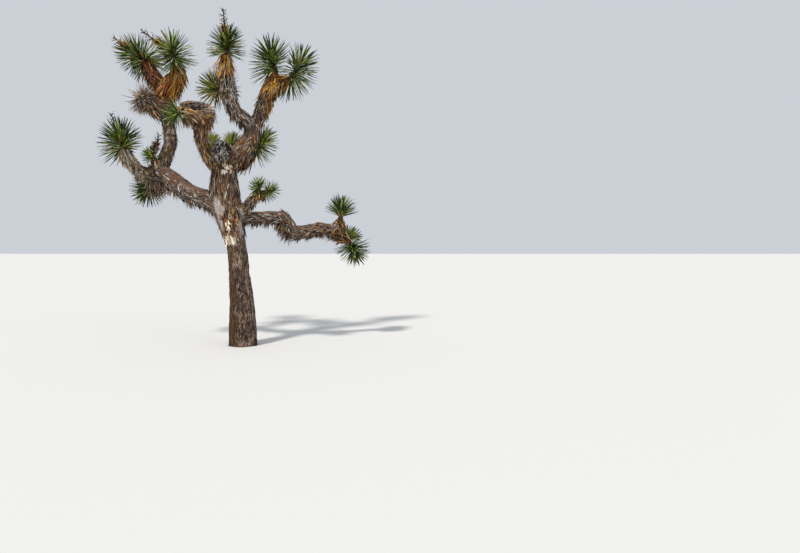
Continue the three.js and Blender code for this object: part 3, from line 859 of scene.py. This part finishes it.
def round_twigs(pile, roots, directions, lengths, widths, profile, tint, bend=0):
    """Six-sided twigs, or pods, whose width follows the profile. Each number may be one for all of them."""
    sides = [(math.cos(turn), math.sin(turn)) for turn in np.linspace(0, math.tau, 7)[:-1]]
    lengths, widths, tint, bend = (np.broadcast_to(n, len(roots)) for n in (lengths, widths, tint, bend))
    blades(pile, roots, directions, sideways(directions)[0], lengths, widths, bend, tint, profile, sides)


def flower_stalk(pile, name, seed):
    """A dried stalk that stands in its rosette: straw bracts below, and above them short twigs that each
    carry a few spent flowers. Some stalks hold pods."""
    head, random = HEADS[name], seeded(seed)
    bearing, rise, length, clear = head["stalk"]
    direction, length, foot = heading(bearing, rise), length * MM, HEARTS[name]
    golden = math.radians(GOLDEN_TURN)

    def leaving(share, turn, angle):
        """Where twigs stand on the stalk, the way they leave it, and the way out from its middle."""
        axis = np.broadcast_to(direction, (len(share), 3))
        radial = radial_at(axis, turn)
        return foot + axis * (share * length)[:, None], tilted(axis, radial, np.radians(angle)), radial

    round_twigs(pile, foot[None], direction[None], length, STALK_RADIUS * 2, STALK_PROFILE, STALK_TONE)
    count = round(length * TWIGS_PER_METRE * (1 - clear))
    share = clear + (STALK_TOP - clear) * (np.arange(count) + 0.5) / count
    reach = (TWIG_LENGTH - TWIG_SHORTER * (share - clear) / (1 - clear)) * random.uniform(0.75, 1.2, count)
    roots, out, _ = leaving(share, np.arange(count) * golden, random.uniform(42, 66, count))
    tint = deal(random, count, DRY_MIX["stalk"])
    round_twigs(pile, roots, out, reach, TWIG_WIDTH, [(0, 1), (0.6, 0.8)], tint, -0.2)

    # The flowers on the twigs
    along_twig = np.tile(np.linspace(0.5, 0.95, FLOWERS_PER_TWIG), count)
    roots, out, reach = (np.repeat(values, FLOWERS_PER_TWIG, 0) for values in (roots, out, reach))
    count = len(roots)
    upper = unit(out * 0.5 + direction * 0.5 + random.standard_normal((count, 3)) * 0.5)
    roots = roots + out * (reach * along_twig)[:, None] + direction * (0.2 * reach * along_twig**2)[:, None]
    round_twigs(
        pile, roots, upper, random.uniform(0.01, 0.022, count), random.uniform(0.006, 0.01, count),
        [(0, 0.5), (0.4, 1), (0.8, 0.8)], deal(random, count, DRY_MIX["stalk"]),
    )

    # The bracts and pods below the twigs
    share = random.uniform(clear - 0.34, clear - 0.05, BRACTS)
    turn = random.random(BRACTS) * math.tau
    roots, out, radial = leaving(share, turn, random.uniform(12, 72, BRACTS))
    blades(
        pile, roots, out, unit(np.cross(out, radial)), random.uniform(0.05, 0.12, BRACTS),
        random.uniform(0.016, 0.034, BRACTS), random.uniform(-0.2, 0.3, BRACTS),
        deal(random, BRACTS, DRY_MIX[head.get("bracts", "bract")]), BRACT_PROFILE,
    )
    pods = np.arange(head.get("pods", 0))
    if len(pods):
        roots, out, _ = leaving(0.12 + 0.06 * pods, pods * golden, np.full(len(pods), 75))
        round_twigs(pile, roots, out, POD_LENGTH, POD_WIDTH, POD_PROFILE, POD_TONE, 0.1)


def colour(code):
    """A colour code as a shader's linear numbers."""
    parts = [int(code[i : i + 2], 16) / 255 for i in (1, 3, 5)]
    return tuple(p / 12.92 if p <= 0.04045 else ((p + 0.055) / 1.055) ** 2.4 for p in parts) + (1,)


class Finish:
    """A material made of nodes: a Principled shader and what feeds it."""

    def __init__(self, name, roughness):
        self.material = bpy.data.materials.new(name)
        self.material.use_nodes = True
        self.tree = self.material.node_tree
        self.shader = self.tree.nodes["Principled BSDF"]
        self.shader.inputs["Roughness"].default_value = roughness
        self.shader.inputs["Specular IOR Level"].default_value = 0.3

    def node(self, kind, **inputs):
        made = self.tree.nodes.new("ShaderNode" + kind)
        for key, value in inputs.items():
            self.put(made.inputs[key.replace("_", " ")], value)
        return made

    def put(self, socket, value):
        if isinstance(value, bpy.types.NodeSocket):
            self.tree.links.new(value, socket)
        else:
            socket.default_value = colour(value) if isinstance(value, str) else value

    def read(self, name, output="Fac"):
        made = self.node("Attribute")
        made.attribute_name = name
        return made.outputs[output]

    def pattern(self, vector, stretch, detail=5):
        """Noise with stretch swings to a metre along each way of the limb's own space."""
        placed = self.node("Mapping", Vector=vector, Scale=stretch)
        made = self.node("TexNoise", Vector=placed.outputs[0], Scale=1.0, Detail=detail, Roughness=0.62)
        return made.outputs["Fac"]

    def ramp(self, amount, places, shades):
        """Runs from shade to shade as the amount goes from place to place."""
        made = self.node("ValToRGB", Fac=amount)
        band = made.color_ramp
        while len(band.elements) < len(places):
            band.elements.new(0.5)
        for element, place, shade in zip(band.elements, places, shades):
            element.position = place
            element.color = colour(shade) if isinstance(shade, str) else (shade, shade, shade, 1)
        return made.outputs["Color"]

    def mix(self, amount, a, b, blend="MIX"):
        made = self.tree.nodes.new("ShaderNodeMix")
        made.data_type = "RGBA"
        made.blend_type = blend
        self.put(made.inputs[0], amount)
        self.put(made.inputs[6], a)
        self.put(made.inputs[7], b)
        return made.outputs[2]


def flat_finish(name, shade, roughness):
    finish = Finish(name, roughness)
    finish.put(finish.shader.inputs["Base Color"], shade)
    return finish.material


def bark_finish(name, cracks, middle, pale, warm, plates=None, sunlit_plates=None, spread=1, soft=0.14):
    """Bark in the limb's own space: streaks that run along it, blotches of a warmer tone, and, where the
    coat is off, the wood, or painted shade in its holes. plates gives the old bark at the trunk's foot with
    painted shade, and the tones after it the same bark with painted sunlight, on the side that faces the
    key light. spread is how much shorter the streaks are, and soft how far their tones run together."""
    finish = Finish(name, 0.92)
    grain = finish.read("grain", "Vector")
    streaks = finish.pattern(grain, (62 / spread, 62 / spread, 13 * spread))
    blotches = finish.pattern(grain, (11, 11, 5), 3)
    fine = finish.pattern(grain, (240, 240, 60))
    shade = finish.ramp(streaks, (0.5 - soft, 0.5, 0.5 + soft), (cracks, middle, pale))
    shade = finish.mix(finish.ramp(blotches, (0.48, 0.62), (0, 0.75)), shade, warm)
    shade = finish.mix(0.45, shade, finish.ramp(fine, (0.3, 0.7), (0.25, 1)), "MULTIPLY")
    if plates:
        small, large = finish.pattern(grain, (105, 105, 24)), finish.pattern(grain, (36, 36, 9), 4)
        marks = finish.mix(0.4, small, large)
        old = finish.ramp(marks, (0.43, 0.51, 0.61), plates)
        old = finish.mix(finish.ramp(blotches, (0.5, 0.6), (0, 0.6)), old, plates[0])
        # Painted sunlight: the lit copy of the old bark, laid where the trunk faces the key light
        old = finish.mix(finish.read("painted_sun"), old, finish.ramp(marks, (0.41, 0.52, 0.62), sunlit_plates))
        old = finish.mix(0.6, old, finish.ramp(fine, (0.32, 0.62), (0.3, 1)), "MULTIPLY")
        shade = finish.mix(finish.read("coat"), old, shade)
    for kind, (wood, deep) in BARE_TONES.items():
        wood = finish.mix(finish.ramp(streaks, (0.4, 0.54), (0.9, 0)), wood, deep)
        shade = finish.mix(finish.read("bare_" + kind), shade, wood)
    finish.put(finish.shader.inputs["Base Color"], shade)
    rough = finish.node("Bump", Height=finish.mix(0.5, streaks, fine), Strength=0.8, Distance=0.008)
    finish.put(finish.shader.inputs["Normal"], rough.outputs["Normal"])
    return finish.material


def give(piece, name, values):
    """A number or a vector for each corner, which a material reads by its name."""
    vector = values.ndim == 2
    made = piece.data.attributes.new(name, "FLOAT_VECTOR" if vector else "FLOAT", "POINT")
    made.data.foreach_set("vector" if vector else "value", values.astype(np.float32).ravel())


# The bark of the trunk and of the boughs. Here and below, each call that draws at random has its own seed.
trunk_pile, bough_pile = Pile(), Pile()
skin(trunk_pile, "trunk", bark_of_trunk, 11)
boughs = [name for name in LIMBS if name != "trunk"]
for order, name in enumerate(boughs, 1):
    if name == "dead_stump":
        skin(bough_pile, name, bark_of_stump, 20 + order, 3 * order, tints=1)
    else:
        skin(bough_pile, name, bark_of_bough, 20 + order, 3 * order)
for order, name in enumerate(HEADS):
    skin(bough_pile, name, bark_of_stem, 60 + order, 50 + 3 * order, STEM_STEP, STEM_THIN)

# The trunk's foot has its old bark twice: with painted shade, and after it with painted sunlight
trunk_finish = bark_finish(
    "trunk_bark", "#2b2019", "#6a533f", "#a08b72", "#7a4e2a",
    plates=("#140d0a", "#604b3e", "#a8927f"), sunlit_plates=("#1b1106", "#463114", "#684d26"),
)
bough_finish = bark_finish("bough_bark", "#251c15", "#5d4a3a", "#8d7a68", "#674531")
stump_finish = bark_finish("stump_bark", "#120e0b", "#847b74", "#e0d9d1", "#3e362f", spread=1.3, soft=0.09)
trunk_bark = trunk_pile.build("trunk_bark", [trunk_finish], ["trunk"], "bark")
bough_bark = bough_pile.build("bough_bark", [bough_finish, stump_finish], boughs, "bark")
for piece, pile in ((trunk_bark, trunk_pile), (bough_bark, bough_pile)):
    corners = np.concatenate(pile.points)
    give(piece, "grain", np.concatenate(pile.grain))
    for kind in BARE_TONES:
        give(piece, "bare_" + kind, bare_weight(corners, kind))
x, _, height = trunk_pile.points[0].T
trunk_grain = trunk_pile.grain[0]
ragged_height = height + 0.12 * noise(trunk_grain / 0.15, 5)
give(trunk_bark, "coat", 1 / (1 + np.exp((COAT_FOOT - ragged_height) / 0.06)))
# Painted sunlight: the side of the trunk's foot that faces the key light, to the left, gets the lit copy of
# its old bark
middle = np.interp(height, LINES["trunk"].dense[:, 2], LINES["trunk"].dense[:, 0])
painted_sun_side = (middle - x) / 0.15 + 0.4 * noise(trunk_grain / [0.05, 0.05, 0.16], 6)
give(trunk_bark, "painted_sun", np.clip((painted_sun_side - 0.12) * 4, 0, 0.92))

# Dead leaves that lie back along the trunk's upper part and the boughs
coat = Pile()
for order, (name, limb) in enumerate(LIMBS.items()):
    plan = dict(mix=limb["straw"], seed=200 + order, density=SHAG_PER_AREA * limb["shag"], skip=bare)
    if name == "trunk":
        plan.update(lift=(2, 9), length=SHAG_LENGTH * 1.5, width=SHAG_WIDTH * 0.8)
        laid_back(coat, name, (0.62, 1), sunk=(-0.012, 0.004), **plan)
    else:
        laid_back(coat, name, (0.02, 1), sunk=(-0.003, 0.01), **plan)
laid_back(
    coat, "trunk", (0.7, 0.96), "rust", 230, (-0.014, -0.002),
    density=SHAG_PER_AREA * 3, length=SHAG_LENGTH * 1.4, width=SHAG_WIDTH * 0.7, lift=(2, 8), sag=0.2,
    skip=lambda places: bare_weight(places, "streak") < 0.2,
)
for kind, (counts, mix, seed) in SPLINTERS.items():
    for order, count in enumerate(counts):
        torn_wood(coat, BARE_PLACES[kind][order], count, mix, seed + order)
for order, (name, low, high, lift, length, mix) in enumerate(ROUGH):
    laid_back(
        coat, name, (low, high), mix, 280 + order, (-0.005, 0.015),
        density=SHAG_PER_AREA * 0.8, length=length, width=SHAG_WIDTH * 0.8, lift=lift, sag=0.5, skip=bare,
    )
laid_back(
    coat, "crook_arm", (0.1, 0.8), "grey", 299, (-0.008, 0.01),
    density=SHAG_PER_AREA * 0.6, width=SHAG_WIDTH * 0.7, lift=(2, 20), sag=0.1,
)
for order, (name, low, high, tufts, length, *mix) in enumerate(TUFTS):
    hanging_tufts(coat, name, (low, high), tufts, length, 240 + order, *mix)

# Skirts of straw under the rosettes in two rows, the dead rosette, the stalks and the green daggers
skirts, stalks, greens = Pile(), Pile(), Pile()
for order, (name, head) in enumerate(HEADS.items()):
    stem = LINES[name].length
    below = 1 - head["crown"] * MM / stem
    reach = min(SKIRT_LENGTH, 0.07 + 0.5 * below * stem)
    gold = head.get("straw_from", 0)
    if gold:
        laid_back(skirts, name, (0, below * (gold + 0.15)), "grey", 600 + order, (0, 0.01), skip=bare)
    rows = (
        (gold, gold + (1 - gold) * 0.6, reach * 0.8, head.get("low_straw", head["straw"])),
        (gold + (1 - gold) * 0.4, 1, reach, head["straw"]),
    )
    for low, high, length, mix in rows:
        laid_back(
            skirts, name, (below * low, below * high), mix, 301 + order * 3, (0.01, 0.05), SKIRT_PER_AREA,
            length, SKIRT_WIDTH, head.get("lift", (2, 26)), 0.4,
        )
    if "stalk" in head:
        flower_stalk(stalks, name, 500 + order)
    if head.get("dead"):
        head_leaves(skirts, name, 380 + order)
    else:
        head_leaves(greens, name, 400 + order)

dry_finishes = [flat_finish(name, code, 0.8) for name, code in DRY_TONES.items()]
leaf_finishes = [flat_finish(name, code, 0.55) for name, code in LEAF_TONES.items()]
with_stalk = [name for name, head in HEADS.items() if "stalk" in head]
alive = [name for name, head in HEADS.items() if not head.get("dead")]
coat.build("bough_coat", dry_finishes, list(LIMBS), "dead_foliage")
skirts.build("straw_skirts", dry_finishes, list(HEADS), "dead_foliage")
stalks.build("flower_stalks", dry_finishes, with_stalk, "dead_foliage")
greens.build("green_leaves", leaf_finishes, alive, "foliage")

# The camera, the floor and the light
view = bpy.data.cameras.new("camera")
view.lens = 29.7
view.sensor_width = 36
camera = added("camera", view)
camera.location = (2.244, -9.4, 1.46)
camera.rotation_euler = (math.radians(87.094), 0, 0)
scene.camera = camera
scene.view_settings.view_transform = "Standard"

bpy.ops.mesh.primitive_plane_add(size=120, location=(0, 20, -0.002))
floor = bpy.context.object
floor.name = "floor"
floor.data.materials.append(flat_finish("pale_floor", (0.6, 0.595, 0.58, 1), 0.9))

world = bpy.data.worlds.new("world")
world.use_nodes = True
sky = world.node_tree.nodes["Background"].inputs
sky["Color"].default_value = (0.88, 0.93, 1, 1)
sky["Strength"].default_value = 0.68
scene.world = world


def sun(name, bearing, rise, power, softness, tone):
    """A far lamp that shines from a bearing and a rise."""
    lamp = bpy.data.lights.new(name, "SUN")
    lamp.energy = power
    lamp.angle = math.radians(softness)
    lamp.color = tone
    added(name, lamp).rotation_euler = (math.radians(90 - rise), 0, math.radians(bearing + 90))


sun("key", 238, 52, 3.3, 6, (1, 0.96, 0.9))
sun("fill", 320, 30, 0.4, 40, (0.9, 0.95, 1))
